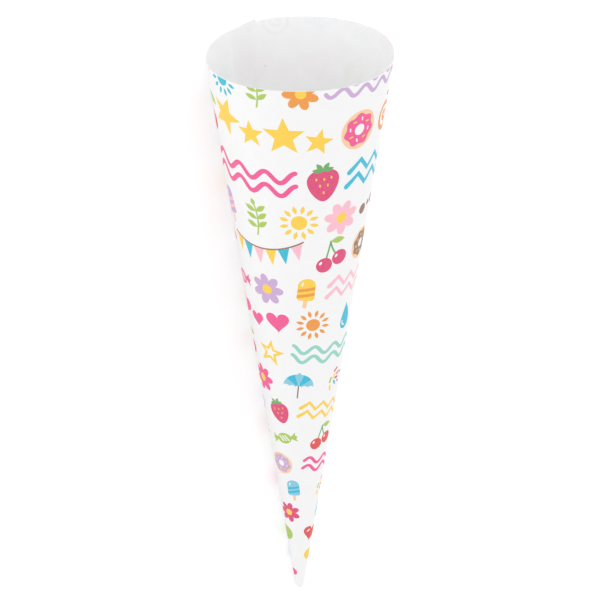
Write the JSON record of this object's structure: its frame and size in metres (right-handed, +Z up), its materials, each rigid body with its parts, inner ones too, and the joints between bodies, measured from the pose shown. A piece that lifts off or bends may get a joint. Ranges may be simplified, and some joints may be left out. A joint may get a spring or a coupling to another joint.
{
  "type": "paper ice cream cone",
  "caption": "Slender paper cone rolled from one printed white sheet and glued along its lap, open at the mouth and closed at the tip, made to hold an ice cream.",
  "frame": {"origin": "on the ground, below the middle of the cone's box as it lies on its flat lap", "axes": "+Y from the mouth to the tip, +Z up from the ground, +X to the right seen from the mouth"},
  "size_m": [0.0549, 0.1777, 0.0539],
  "materials": {
    "printed_paper": "smooth coated white paper with a scattered print in many colours on the outside"
  },
  "bodies": {
    "root": {"paper_cone": "printed_paper"}
  },
  "joints": []
}
